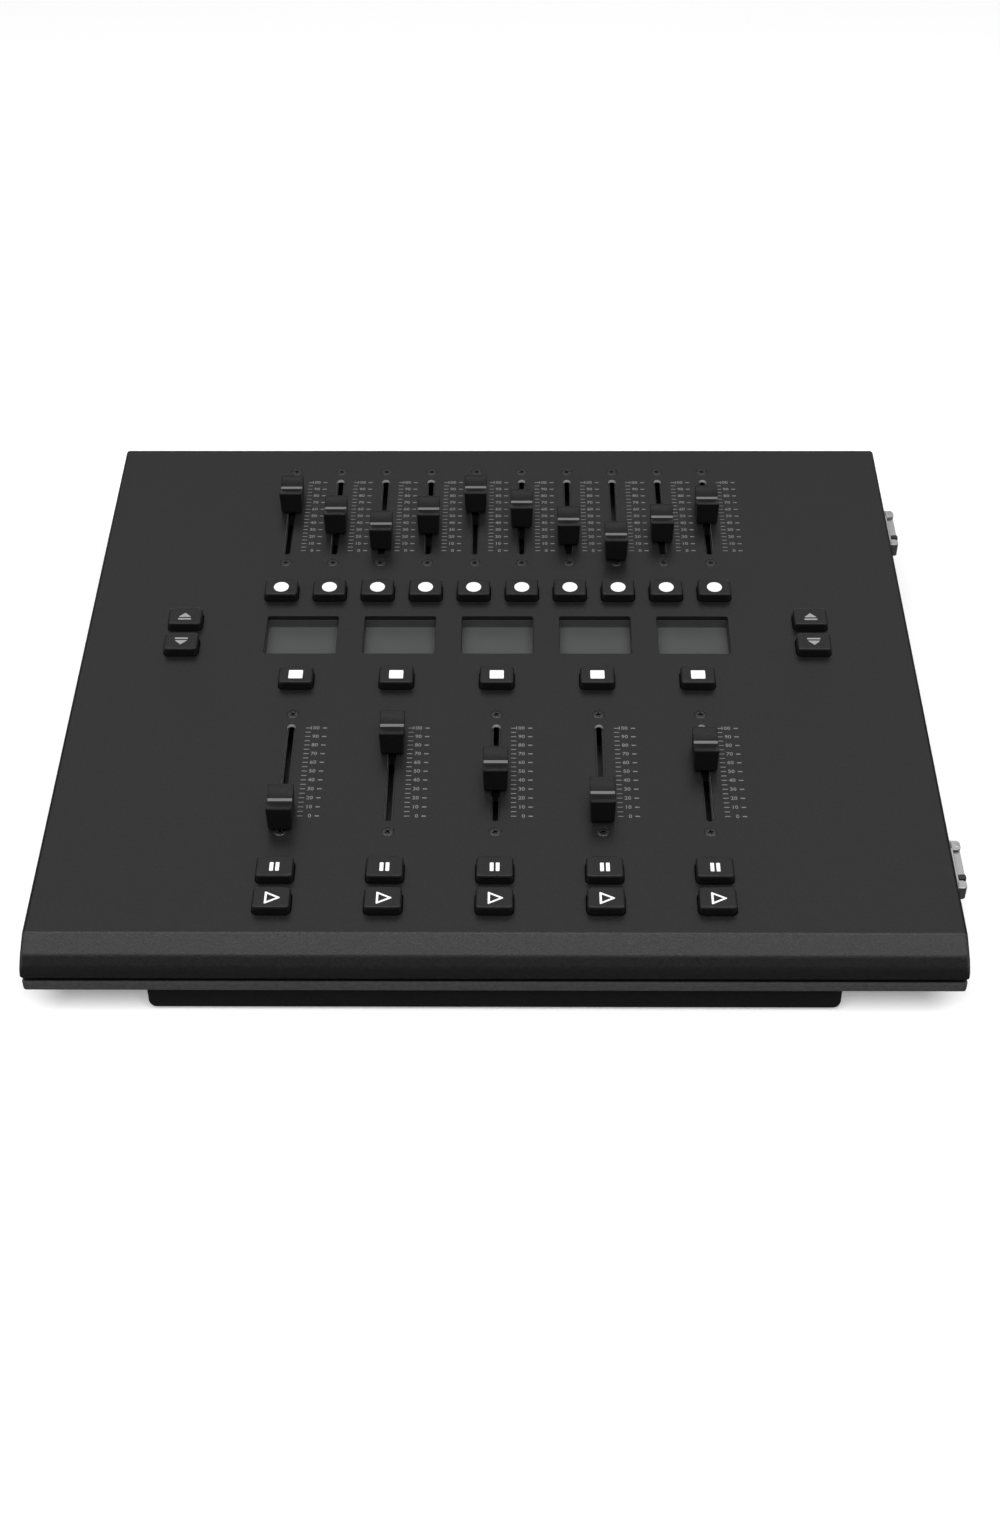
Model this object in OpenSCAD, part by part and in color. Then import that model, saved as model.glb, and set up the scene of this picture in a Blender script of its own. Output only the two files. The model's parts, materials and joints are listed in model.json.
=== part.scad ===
// Stage lighting control desk: a sloping sheet-metal panel with ten playback faders over
// five, sprung legend keys and five recessed displays. The panel closes a shallow bottom
// tray, and the tray sits on a narrower wedge-shaped base housing with rubber feet.

/* [Panel] */
// Width of the control panel
panel_w = 420; // [410:1:440]
// Depth of the panel, from the zero line of the depth distances to its rear edge
panel_d = 364; // [362:1:390]
// Slope of the panel, rising towards the rear
panel_tilt = 5; // [2:0.5:8]
// Height of the panel surface above the floor at the zero line
panel_z = 42; // [40:1:60]
// Thickness of the cover's sheet
sheet = 2; // [1.5:0.1:2]
// Distance from the zero line back to where the folded nose begins
nose_v = 4.5; // [3:0.5:6]

/* [Tray and base] */
// Shadow gap between the cover's walls and the tray's rim
shadow_gap = 3.2; // [3:0.1:4]
// Height of the tray's rim
rim_h = 5.8; // [5:0.1:6]
// Width of the base housing
base_w = 312; // [280:1:330]
// Distance from the zero line back to the base housing's front wall
base_front = -4.7; // [-5:0.1:0]
// Depth of the base housing
base_d = 350; // [330:1:352]
// Radius of the base housing's lower side edges
base_r = 5.5; // [3:0.5:6]
// Radius of the base housing's lower front and rear edges
base_lip_r = 2; // [1:0.5:3]
// Wall of the base housing
base_wall = 3; // [2:0.5:3]

/* [Columns] */
// Distance between neighbouring fader columns
pitch = 25; // [24:0.5:26]
// Distance of the upper faders' centres from the zero line
upper_v = 303; // [302:0.5:304]
// Distance of the lower faders' centres from the zero line
lower_v = 105; // [102:0.5:108]

/* [Faders] */
// Travel of each fader
travel = 60; // [50:1:60]
// Width of the slot that the fader's blade runs in
slot_w = 4.2; // [4:0.1:4.6]
// Distance between the two screws that hold a fader
fader_screws = 80; // [80:0.5:82]
// Width of the fader cap
cap_w = 12; // [10:0.5:12]
// Length of the fader cap at its base
cap_l = 19.6; // [16:0.2:20]
// Height of the fader cap's ends above the panel
cap_top = 13; // [11:0.5:14]

/* [Keys] */
// Width of a key's cap
key_w = 17.5; // [15:0.5:18]
// Depth of a key's cap
key_d = 14.3; // [12:0.1:15]
// Height of a key's top above the panel
key_top = 5; // [4:0.5:6]
// Travel of a key
key_travel = 1.5; // [1:0.1:2]
// Distances of the key rows from the zero line, front to rear
play_v = 19.3; // [18:0.1:20]
pause_v = 38.3; // [38:0.1:40]
select_v = 169; // [168:0.5:170]
flash_v = 237; // [236:0.5:238]
// Distance of the page keys from the panel's centre line
page_x = 160; // [150:1:170]
// Distances of the two page-key rows from the zero line
page_down_v = 194; // [192:0.5:195]
page_up_v = 213.5; // [212:0.5:215]

/* [Displays] */
// Width of a display's opening
view_w = 36.5; // [34:0.5:38]
// Depth of a display's opening
view_d = 29; // [27:0.5:30]
// Distance of the displays' centres from the zero line
view_v = 204.7; // [204:0.1:205]
// Depth of the display's glass below the panel surface
view_drop = 7.5; // [5:0.5:7.5]

/* [Side latches] */
// Length of a side latch
latch_l = 30; // [28:1:34]
// How far a side latch stands out of the cover's right wall
latch_out = 5; // [4.5:0.1:5.2]
// Distances of the two latches' front ends from the zero line
front_latch_v = 32.5; // [31:0.5:40]
rear_latch_v = 281.5; // [275:0.5:295]

/* [Hidden] */
$fn = 64;
fit = 0.3;
near = 0.03;
over = 1;

// Playback columns in the upper row, and in the lower row at twice the pitch
columns = 10;
lower_count = 5;
side_columns = [for (i = [0:columns - 1]) (i - (columns - 1) / 2) * pitch];
centre_columns = [for (i = [0:lower_count - 1]) (i - (lower_count - 1) / 2) * 2 * pitch];

// Where each fader stands at rest, measured from the middle of its travel
upper_rest = [11, -7, -20.5, -7.5, 11.5, -1.5, -16.5, -29.5, -14.5, 2];
lower_rest = [-30, 20.5, -4.5, -25, 9];

// The nose: each fold's radius, the slope where it ends and the flat that follows it
fold_r = [8, 8, 9];
fold_to = [22, 36, 75];
flat_l = [8.5, 3, 0.3];
fold_steps = 5;
nose_end = fold_start(len(fold_r), 0);
wall_h = -nose_end[1];

slab_h = wall_h + shadow_gap + rim_h;
tray_inset = 0.4;
tray_sheet = 1.5;
tray_fit = 0.15;
front_reach = -nose_end[0] * cos(panel_tilt) + nose_end[1] * sin(panel_tilt);
rear_reach = (panel_d - tray_inset) * cos(panel_tilt) + slab_h * sin(panel_tilt);
panel_y = (front_reach - rear_reach) / 2;

screw_r = 1.25;
screw_hole_r = 1.28;
screw_head_r = 2.8;
screw_head_h = 1.5;
screw_l = 6;

frame_w = 13;
frame_l = 88;
frame_h = 11;
frame_wall = 1;
frame_slot_w = 2.6;
blade_w = 1.2;
blade_l = 5;
cap_gap = 1.3;
dip_l = 14;
dip_h = 1.6;
line_w = 2;
line_h = 0.6;

key_r = 2.4;
key_skirt = 2.5;
key_wall = 1.3;
key_roof = 2;
stem_w = 3.8;
stem_end = 6.5;
legend_deep = 0.4;
board_n = -10;
board_h = 1.6;
switch_w = 12;
switch_h = 4.5;

window_h = 1;
bezel_wall = 2;
glass_h = 2;

foot_r = 9;
foot_h = 3;
foot_up = 1;
foot_inset = 28;

// Lays its children on the sloping panel: X across, Y up the slope, Z out of the panel
module on_panel() {
    translate([0, panel_y, panel_z]) rotate([panel_tilt, 0, 0]) children();
}

// Extrudes a side view, drawn as (depth, height), over a width centred on X = 0
module across(width) {
    translate([-width / 2, 0, 0]) rotate([90, 0, 90]) linear_extrude(width) children();
}

// A rectangle centred on the origin with true round corners
module round_rect(w, d, r) {
    square([w - 2 * r, d], center = true);
    square([w, d - 2 * r], center = true);
    for (x = [-1, 1], y = [-1, 1])
        translate([x * (w / 2 - r), y * (d / 2 - r)]) circle(r);
}

// A plate from height low to height high
module plate(w, d, low, high, r = 0) {
    translate([0, 0, low]) linear_extrude(high - low) {
        if (r > 0) round_rect(w, d, r);
        else square([w, d], center = true);
    }
}

// Slope where fold i begins
function fold_from(i) = i == 0 ? 0 : fold_to[i - 1];

// Step from the start of a fold of radius r between two slopes to its end
function fold_step(r, from, to) = [r * (sin(from) - sin(to)), r * (cos(to) - cos(from))];

// Place where fold i begins, on the nose pulled in by inset
function fold_start(i, inset) = i == 0 ? [nose_v, -inset]
    : fold_end(i - 1, inset) - flat_l[i - 1] * [cos(fold_to[i - 1]), sin(fold_to[i - 1])];

// Place where fold i ends, on the nose pulled in by inset
function fold_end(i, inset) =
    fold_start(i, inset) + fold_step(fold_r[i] - inset, fold_from(i), fold_to[i]);

// Places along fold i, from its start to its end
function fold_points(i, inset) = [for (k = [0:fold_steps])
    fold_start(i, inset) + fold_step(fold_r[i] - inset, fold_from(i),
                                     fold_from(i) + (fold_to[i] - fold_from(i)) * k / fold_steps)];

// Side view of the slab with its folded nose, pulled in all round by inset
module slab_side(inset, height) {
    last = len(fold_r) - 1;
    low = height + over;
    end = fold_end(last, inset);
    intersection() {
        polygon(concat(
            [for (i = [0:last]) each fold_points(i, inset)],
            [[end[0] - (low + end[1]) / tan(fold_to[last]), -low],
             [panel_d - inset, -low], [panel_d - inset, -inset]]));
        translate([nose_end[0] - over, -height])
            square([panel_d - nose_end[0] + 2 * over, height + over]);
    }
}

// Every place on the panel that has a fader, as [x, v, rest]
fader_places = concat(
    [for (i = [0:columns - 1]) [side_columns[i], upper_v, upper_rest[i]]],
    [for (i = [0:lower_count - 1]) [centre_columns[i], lower_v, lower_rest[i]]]);

// Every place on the panel that has a key, as [x, v]
page_key_places = [for (s = [-1, 1], v = [page_up_v, page_down_v]) [s * page_x, v]];
key_places = concat(
    [for (x = side_columns) [x, flash_v]],
    [for (x = centre_columns, v = [select_v, pause_v, play_v]) [x, v]],
    page_key_places);

// The cover's side screws and the base's upright screws, as places
side_screw_v = [20, 180, 345];
side_screw_n = -6.5;
base_screw_places = [for (x = [-1, 1], y = [14, 174, 330]) [x * (base_w / 2 - 12), y]];

module countersunk_screw(length) {
    rotate_extrude() polygon([
        [0, 0], [screw_head_r, 0], [screw_head_r, -0.3],
        [screw_r, -screw_head_h], [screw_r, -length], [0, -length]]);
}

module screw_cut(length) {
    rotate_extrude() polygon([
        [0, over], [screw_head_r + near, over], [screw_head_r + near, -0.3 - near],
        [screw_hole_r, -screw_head_h - near], [screw_hole_r, -length], [0, -length]]);
}

module at_fader_screws() {
    for (p = fader_places, s = [-1, 1])
        translate([p[0], p[1] + s * fader_screws / 2, 0]) children();
}

module at_side_screws() {
    for (s = [-1, 1], v = side_screw_v)
        translate([s * panel_w / 2, v, side_screw_n]) rotate([0, s * 90, 0]) children();
}

// The upright screws' heads stand in deep holes, this far above the base's underside
module at_base_screws() {
    for (p = base_screw_places)
        translate([p[0], panel_y + p[1], base_screw_z(p[1])]) rotate([180, 0, 0]) children();
}

function tray_under(y) = panel_z - slab_h / cos(panel_tilt) + y * tan(panel_tilt);
function base_screw_z(y) = tray_under(y) - 3.5;

// Casing ------------------------------------------------------------------------------

module top_cover() {
    color([0.09, 0.09, 0.095]) on_panel() difference() {
        across(panel_w) slab_side(0, wall_h);
        across(panel_w - 2 * sheet) slab_side(sheet, wall_h + over);
        for (p = fader_places) translate([p[0], p[1], 0]) fader_slot_cut(slot_w);
        at_fader_screws() screw_cut(sheet + over);
        at_side_screws() screw_cut(sheet + over);
        for (p = key_places) translate([p[0], p[1], 0])
            plate(key_w + 2 * fit, key_d + 2 * fit, -sheet - over, over, key_r + fit);
        for (x = centre_columns) translate([x, view_v, 0])
            plate(view_w, view_d, -sheet - over, over, 1);
    }
}

// A slot of width w with round ends, 6 mm longer than the travel
module fader_slot_cut(w) {
    run = travel + 6 - w;
    translate([0, 0, -sheet - over]) linear_extrude(sheet + 2 * over) {
        square([w, run], center = true);
        for (s = [-1, 1]) translate([0, s * run / 2]) circle(w / 2);
    }
}

module bottom_tray() {
    low = -slab_h;
    rim_top = -wall_h - shadow_gap;
    rim_w = panel_w - 2 * tray_inset;
    inner_w = panel_w - 2 * sheet - 2 * tray_fit;
    rim_d0 = nose_end[0] + tray_inset;
    rim_d1 = panel_d - tray_inset;
    wall_t = 2;
    color([0.08, 0.08, 0.085]) difference() {
        on_panel() difference() {
            union() {
                translate([0, (rim_d0 + rim_d1) / 2, 0])
                    plate(rim_w, rim_d1 - rim_d0, low, rim_top, 1.2);
                upstand_box(inner_w, sheet + tray_fit, -wall_h + 3);
                for (s = [-1, 1], v = side_screw_v)
                    translate([s * (inner_w / 2 - wall_t / 2), v, 0])
                        plate(wall_t, 14, rim_top, side_screw_n + 4);
            }
            upstand_box(inner_w - 2 * wall_t, sheet + tray_fit + wall_t, 0, low + tray_sheet);
            at_side_screws() screw_cut(screw_l + over);
        }
        at_base_screws() translate([0, 0, -8]) cylinder(h = 12, r = screw_hole_r);
        tray_cable_hole();
    }
}

// The block inside the cover's walls, from the tray's floor up to a height
module upstand_box(w, inset, high, low = -slab_h + 1) {
    front = nose_end[0] + 4 + inset - sheet;
    translate([0, (front + panel_d - inset) / 2, 0])
        plate(w, panel_d - inset - front, low, high);
}

// Opening in the tray's floor for the wiring between the slab and the base housing
module tray_cable_hole() {
    translate([0, panel_y + 260, 0]) plate(120, 40, panel_z - slab_h, panel_z + slab_h, 4);
}

// Outer shape of the base housing, pulled in all round by inset, its lower edges rounded
module base_block(inset, top) {
    w = base_w - 2 * inset;
    d = base_d - 2 * inset;
    translate([0, panel_y + base_front + inset, 0]) intersection() {
        translate([0, d, foot_h - foot_up + inset]) rotate([90, 0, 0])
            linear_extrude(d) rounded_foot_rect(w, top, base_r - inset);
        translate([0, 0, foot_h - foot_up + inset]) across(w)
            translate([d / 2, 0]) rounded_foot_rect(d, top, max(base_lip_r - inset, 0.5));
    }
}

// A rectangle standing on Y = 0 with its two lower corners rounded
module rounded_foot_rect(w, h, r) {
    translate([-w / 2, r]) square([w, h - r]);
    translate([-w / 2 + r, 0]) square([w - 2 * r, h]);
    for (s = [-1, 1]) translate([s * (w / 2 - r), r]) circle(r);
}

module base_housing() {
    boss_r = 6;
    color([0.05, 0.05, 0.055]) difference() {
        union() {
            difference() {
                base_block(0, panel_z + slab_h);
                base_block(base_wall, panel_z + 2 * slab_h);
            }
            intersection() {
                base_block(0.5, panel_z + slab_h);
                for (p = base_screw_places) translate([p[0], panel_y + p[1], 0])
                    cylinder(h = panel_z + slab_h, r = boss_r);
            }
        }
        on_panel() translate([-panel_w / 2, -panel_d, -slab_h])
            cube([panel_w, 3 * panel_d, 6 * slab_h]);
        at_base_screws() {
            translate([0, 0, -screw_l * 2]) cylinder(h = screw_l * 2, r = screw_hole_r);
            screw_cut(screw_l);
            cylinder(h = panel_z + slab_h, r = screw_head_r + 0.4);
        }
        at_feet() translate([0, 0, -over]) cylinder(h = over + foot_h + near, r = foot_r + near);
        translate([0, panel_y + base_front + base_d, panel_plate_z])
            cube([plate_open_w, 4 * base_wall, plate_open_h], center = true);
        at_plate_screws() screw_cut(screw_l + over);
    }
}

module at_feet() {
    for (x = [-1, 1], y = [foot_inset, base_d - foot_inset])
        translate([x * (base_w / 2 - foot_inset), panel_y + base_front + y, 0]) children();
}

module rubber_feet() {
    color([0.03, 0.03, 0.03]) at_feet() rotate_extrude() polygon([
        [0, 0], [foot_r - 1.5, 0], [foot_r - 0.4, 1.2], [foot_r - 0.4, foot_h], [0, foot_h]]);
}

// Rear connectors ---------------------------------------------------------------------

plate_w = 92;
plate_h = 26;
plate_open_w = 76;
plate_open_h = 19;
plate_t = 1.5;
panel_plate_z = 24;
data_x = -18;
power_x = 18;
data_w = 12;
data_h = 11;
jack_r = 5;
rear_y = panel_y + base_front + base_d;

// The two screws that hold the connector panel
module at_plate_screws() {
    for (s = [-1, 1]) translate([s * (plate_w / 2 - 4), rear_y + plate_t, panel_plate_z])
        rotate([-90, 0, 0]) children();
}

module connector_panel() {
    color([0.12, 0.12, 0.125]) difference() {
        translate([0, rear_y, panel_plate_z]) rotate([-90, 0, 0]) difference() {
            plate(plate_w, plate_h, 0, plate_t, 2);
            translate([data_x, 0, 0])
                plate(data_w + 2 * near, data_h + 2 * near, -over, plate_t + over);
            translate([power_x, 0, -over]) cylinder(h = plate_t + 2 * over, r = jack_r + near);
        }
        at_plate_screws() screw_cut(plate_t + over);
    }
}

// A square data socket and a round low-voltage inlet, each with its contacts inside
module rear_connectors() {
    mouth_w = 8.6;
    mouth_h = 7.8;
    color([0.62, 0.62, 0.6]) translate([data_x, rear_y + plate_t, panel_plate_z])
        rotate([-90, 0, 0]) {
            difference() {
                plate(data_w, data_h, -16, 0.5);
                plate(mouth_w, mouth_h, -10, 0.5 + over, 1);
            }
            plate(5.6, 3.2, -10 + near, -1.5);
        }
    color([0.04, 0.04, 0.04]) translate([power_x, rear_y + plate_t, panel_plate_z])
        rotate([-90, 0, 0]) {
            difference() {
                translate([0, 0, -14]) cylinder(h = 14.5, r = jack_r);
                translate([0, 0, -10]) cylinder(h = 12, r = 3.2);
            }
            translate([0, 0, -10 + near]) cylinder(h = 8.5, r = 1);
        }
}

// Faders ------------------------------------------------------------------------------

module fader_frames() {
    color([0.55, 0.56, 0.57]) on_panel() difference() {
        for (p = fader_places) translate([p[0], p[1], 0]) difference() {
            plate(frame_w, frame_l, -sheet - frame_h, -sheet);
            plate(frame_w - 2 * frame_wall, fader_screws - 6,
                  -sheet - frame_h + frame_wall, -sheet - frame_wall);
            translate([0, 0, -frame_wall]) fader_slot_cut(frame_slot_w);
        }
        at_fader_screws() translate([0, 0, -screw_l - over])
            cylinder(h = screw_l + 2 * over, r = screw_hole_r);
    }
}

// Cap, index line, blade and carriage of one fader, about its own place on the panel
module fader_at(place) {
    base_l = cap_l / 2;
    top_l = base_l - 1.1;
    dip_r = (dip_l * dip_l / 4 + dip_h * dip_h) / (2 * dip_h);
    floor_n = cap_top - dip_h;
    blade_top = cap_gap + 5;
    on_panel() translate([place[0], place[1] + place[2], 0]) {
        color([0.07, 0.07, 0.075]) difference() {
            across(cap_w) difference() {
                polygon([[-base_l, cap_gap], [base_l, cap_gap], [top_l, cap_top], [-top_l, cap_top]]);
                translate([0, floor_n + dip_r]) circle(dip_r, $fn = 180);
            }
            plate(cap_w + over, line_w + 2 * near, floor_n - line_h, cap_top);
            plate(blade_w + 2 * near, blade_l + 2 * near, 0, blade_top);
        }
        color([0.85, 0.85, 0.85])
            plate(cap_w, line_w, floor_n - line_h + near, floor_n + 0.1);
        color([0.6, 0.6, 0.62]) plate(blade_w, blade_l, -6.5, blade_top - near);
        color([0.8, 0.8, 0.76]) difference() {
            plate(frame_w - 2 * frame_wall - 2 * fit, 9, -sheet - frame_h + frame_wall + fit, -4);
            plate(blade_w + 2 * near, blade_l + 2 * near, -6.5 - near, 0);
        }
    }
}

module panel_screws() {
    color([0.06, 0.06, 0.06]) on_panel() at_fader_screws() countersunk_screw(screw_l);
}

module case_screws() {
    color([0.06, 0.06, 0.06]) {
        on_panel() at_side_screws() countersunk_screw(screw_l);
        at_base_screws() countersunk_screw(screw_l);
        at_plate_screws() countersunk_screw(screw_l);
    }
}

// Keys --------------------------------------------------------------------------------

// Legend shapes, drawn flat and centred on the key. $grow widens the pocket that the
// legend sits in by the running gap, and is 0 for the legend itself.
module disc_legend() {
    circle(4.3 + $grow);
}

module block_legend() {
    square([7.6 + 2 * $grow, 7 + 2 * $grow], center = true);
}

module bars_legend() {
    for (s = [-1, 1])
        translate([s * 1.4, 0]) square([2.1 + 2 * $grow, 6.3 + 2 * $grow], center = true);
}

module triangle_legend() {
    difference() {
        triangle_shape(8.1 / 2 + 2 * $grow);
        triangle_shape(4.1 / 2 - 2 * $grow);
    }
}

// A triangle that points to the right, centred on its centre of area
module triangle_shape(half) {
    long = 1.926 * half;
    translate([-long / 3 - 0.6, 0]) polygon([[0, -half], [long, 0], [0, half]]);
}

// A triangle that points up the slope, over a bar
module page_legend() {
    translate([0, 0.9]) polygon([
        [-3.9 - 2 * $grow, -1.6 - $grow], [3.9 + 2 * $grow, -1.6 - $grow], [0, 2.2 + 2 * $grow]]);
    translate([0, -2.3]) square([7.8 + 2 * $grow, 1.2 + 2 * $grow], center = true);
}

// One key: a hollow cap with its stem, and the legend let into its top
module key_at(x, v) {
    roof_n = key_top - key_roof;
    on_panel() translate([x, v, 0]) {
        color([0.1, 0.1, 0.105]) difference() {
            union() {
                difference() {
                    union() {
                        plate(key_w, key_d, -key_skirt, key_top - 0.8, key_r);
                        plate(key_w - 1, key_d - 1, key_top - 1, key_top, key_r - 0.5);
                    }
                    plate(key_w - 2 * key_wall, key_d - 2 * key_wall, -key_skirt - over, roof_n, 1);
                }
                plate(stem_w, stem_w, -stem_end, roof_n + over / 2);
            }
            translate([0, 0, key_top - legend_deep - near]) linear_extrude(over) {
                $grow = near;
                children();
            }
        }
        color([0.9, 0.9, 0.88]) translate([0, 0, key_top - legend_deep])
            linear_extrude(legend_deep) {
                $grow = 0;
                children();
            }
    }
}

module key_switches() {
    well = stem_w + 2 * fit;
    color([0.16, 0.16, 0.17]) on_panel() for (p = key_places) translate([p[0], p[1], 0])
        difference() {
            plate(switch_w, switch_w, board_n, board_n + switch_h);
            plate(well, well, -stem_end - key_travel - over, board_n + switch_h + over);
        }
}

// Displays ----------------------------------------------------------------------------

module at_displays() {
    on_panel() for (x = centre_columns) translate([x, view_v, 0]) children();
}

module display_windows() {
    color([0.8, 0.85, 0.85, 0.4]) at_displays()
        plate(view_w + 2 * bezel_wall, view_d + 2 * bezel_wall, -sheet - window_h, -sheet);
}

// Bezel round each display, and the glass in it
module display_modules() {
    color([0.05, 0.05, 0.05]) at_displays() difference() {
        plate(view_w + 2 * bezel_wall, view_d + 2 * bezel_wall, board_n, -sheet - window_h);
        plate(view_w, view_d, board_n - over, over);
    }
    color([0.3, 0.32, 0.33]) at_displays()
        plate(view_w - 2 * near, view_d - 2 * near, -view_drop - glass_h, -view_drop);
}

// Boards ------------------------------------------------------------------------------

// Key board under the displays, play board at the front and main board in the base,
// each on spacers
module circuit_boards() {
    color([0.07, 0.2, 0.12]) {
        on_panel() {
            spaced_board(2 * page_x + 24, 92, 0, 204, board_n);
            spaced_board(10 * pitch, 46, 0, (play_v + pause_v) / 2, board_n);
        }
        translate([0, panel_y, 0]) base_board(180, 120, 190);
    }
}

module spaced_board(w, d, x, v, top) {
    spacer_r = 2.5;
    translate([x, v, 0]) {
        plate(w, d, top - board_h, top);
        for (sx = [-1, 1], sy = [-1, 1])
            translate([sx * (w / 2 - 4), sy * (d / 2 - 4), top + near])
                cylinder(h = -sheet - top - near, r = spacer_r);
    }
}

module base_board(w, d, y) {
    floor_z = foot_h - foot_up + base_wall;
    spacer_h = 4;
    translate([0, y, floor_z]) {
        plate(w, d, spacer_h + near, spacer_h + board_h);
        for (sx = [-1, 1], sy = [-1, 1])
            translate([sx * (w / 2 - 5), sy * (d / 2 - 5), 0]) cylinder(h = spacer_h, r = 3);
    }
}

// Side latches ------------------------------------------------------------------------

latch_t = 1.2;
latch_top = -2.8;
latch_h = 7.6;
lug_h = 1.2;
lug_l = 6;
keeper_l = 5;
grip_l = 3;
pin_r = 1;
pin_x = panel_w / 2 + latch_out - 1.9;
lever_gap = 1;
latch_vs = [front_latch_v, rear_latch_v];

// Wall plate with two lugs, the hinge pin between them and the keeper at the front end
module latch_brackets() {
    color([0.7, 0.7, 0.7]) on_panel() for (v = latch_vs) translate([panel_w / 2, v, latch_top]) {
        translate([0, 0, -latch_h]) cube([latch_t, latch_l, latch_h]);
        translate([0, 0, -latch_h]) cube([latch_out - 0.5, keeper_l, latch_h]);
        difference() {
            for (z = [-lug_h, -latch_h])
                translate([0, latch_l - lug_l, z]) cube([latch_out, lug_l, lug_h]);
            translate([pin_x - panel_w / 2, latch_l - lug_l / 2, -latch_h - over])
                cylinder(h = latch_h + 2 * over, r = pin_r + near);
        }
        translate([pin_x - panel_w / 2, latch_l - lug_l / 2, -latch_h]) cylinder(h = latch_h, r = pin_r);
    }
}

// The lever turns about the pin at its rear end, and its free end carries a taller grip
module latch_lever(v) {
    half = 1.6;
    grip_out = panel_w / 2 + latch_out - pin_x;
    reach = latch_l - lug_l / 2 - keeper_l - lever_gap;
    low = -latch_h + lug_h + 0.2;
    high = -lug_h - 0.2;
    color([0.75, 0.75, 0.75]) on_panel() translate([pin_x, v + latch_l - lug_l / 2, latch_top])
        difference() {
            union() {
                translate([0, 0, low]) cylinder(h = high - low, r = half);
                translate([-half, -reach, low]) cube([2 * half, reach, high - low]);
                translate([-half, -reach, low - lug_h])
                    cube([half + grip_out, grip_l, high - low + 2 * lug_h]);
            }
            translate([0, 0, low - over]) cylinder(h = high - low + 2 * over, r = pin_r + 0.05);
        }
}

top_cover();
bottom_tray();
base_housing();
connector_panel();
rear_connectors();
fader_frames();
panel_screws();
case_screws();
display_windows();
display_modules();
circuit_boards();
key_switches();
latch_brackets();
rubber_feet();
latch_lever(front_latch_v);  // front_latch_lever
latch_lever(rear_latch_v);  // rear_latch_lever
for (i = [1:columns]) {
    fader_at(fader_places[i - 1]);
    key_at(side_columns[i - 1], flash_v) disc_legend();
}
for (i = [1:lower_count]) {
    x = centre_columns[i - 1];
    fader_at(fader_places[columns + i - 1]);
    key_at(x, select_v) block_legend();
    key_at(x, pause_v) bars_legend();
    key_at(x, play_v) triangle_legend();
}
key_at(-page_x, page_up_v) page_legend();  // page_up_key_left
key_at(page_x, page_up_v) page_legend();  // page_up_key_right
key_at(-page_x, page_down_v) mirror([0, 1]) page_legend();  // page_down_key_left
key_at(page_x, page_down_v) mirror([0, 1]) page_legend();  // page_down_key_right
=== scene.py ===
"""Looks of the lighting control desk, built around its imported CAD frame."""

import json
import math

import bmesh
import bpy
from mathutils import Matrix, Vector


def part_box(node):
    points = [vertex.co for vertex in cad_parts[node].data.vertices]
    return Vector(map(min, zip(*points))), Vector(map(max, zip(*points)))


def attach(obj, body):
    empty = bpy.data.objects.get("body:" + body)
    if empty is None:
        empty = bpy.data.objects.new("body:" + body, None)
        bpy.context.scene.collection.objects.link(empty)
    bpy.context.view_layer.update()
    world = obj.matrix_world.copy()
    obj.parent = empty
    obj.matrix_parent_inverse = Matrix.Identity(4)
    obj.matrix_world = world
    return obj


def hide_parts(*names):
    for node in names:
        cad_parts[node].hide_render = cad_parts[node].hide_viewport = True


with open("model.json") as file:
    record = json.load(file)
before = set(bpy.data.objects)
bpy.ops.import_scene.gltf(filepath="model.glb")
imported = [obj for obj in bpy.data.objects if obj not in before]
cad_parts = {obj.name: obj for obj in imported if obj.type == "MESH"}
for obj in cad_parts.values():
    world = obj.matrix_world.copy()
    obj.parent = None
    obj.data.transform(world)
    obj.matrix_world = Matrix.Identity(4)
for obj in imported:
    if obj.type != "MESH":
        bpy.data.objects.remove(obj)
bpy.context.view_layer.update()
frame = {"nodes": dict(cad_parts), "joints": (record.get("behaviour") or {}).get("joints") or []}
MM = 0.001

# ---------------------------------------------------------------- places from the frame

JOINTS = {j["name"]: j for j in frame["joints"]}
SLOPE = Vector(JOINTS["upper_fader_1_slide"]["axis"])
TILT = math.atan2(SLOPE.z, SLOPE.y)

SHEET = 2.0                                             # cover's sheet
NOSE_V = 3.72                                           # where the folded nose begins
FOLDS = ((4, 22, 9.28), (8, 36, 3.0), (9, 75, 0.3))     # radius, slope after it, flat after it
BEND_R = 2.0                                            # folded side and rear edges


def nose_profile(steps=8):
    """The nose from the panel down to its lower edge, as (v, n, slope in degrees)."""
    v, n, slope = NOSE_V, 0.0, 0.0
    points = [(v, n, slope)]
    for radius, end, flat in FOLDS:
        start = math.radians(slope)
        for k in range(1, steps + 1):
            a = start + (math.radians(end) - start) * k / steps
            points.append((v + radius * (math.sin(start) - math.sin(a)),
                           n + radius * (math.cos(a) - math.cos(start)), math.degrees(a)))
        slope = end
        v = points[-1][0] - flat * math.cos(math.radians(end))
        n = points[-1][1] - flat * math.sin(math.radians(end))
        points.append((v, n, slope))
    return points


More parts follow.
